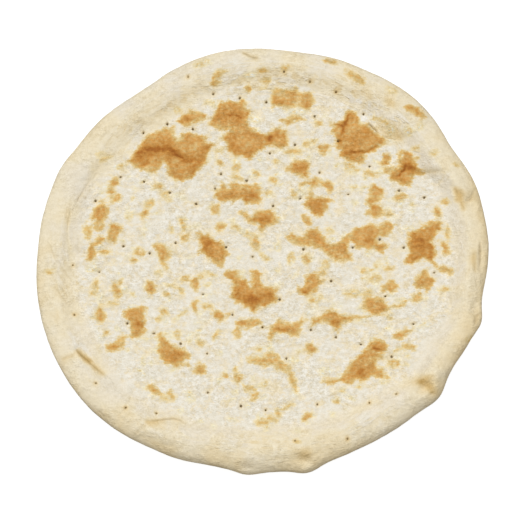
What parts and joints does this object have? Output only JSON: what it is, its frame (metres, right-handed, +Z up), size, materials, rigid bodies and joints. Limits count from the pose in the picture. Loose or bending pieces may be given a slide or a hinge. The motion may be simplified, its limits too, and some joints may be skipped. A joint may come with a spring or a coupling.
{
  "type": "pizza crust",
  "caption": "Round par-baked pizza crust with a pricked, floury floor inside a low, puffed, hand-stretched rim.",
  "frame": {"origin": "middle of the flat base, on the surface that the crust lies on", "axes": "+Z up through the floor, +X to the picture's right, +Y to the picture's top"},
  "size_m": [0.3052, 0.3022, 0.0177],
  "materials": {
    "baked_dough": "matt cream bread with white flour, golden brown blisters and small pricked holes"
  },
  "bodies": {
    "root": {"crust": "baked_dough"}
  },
  "joints": []
}
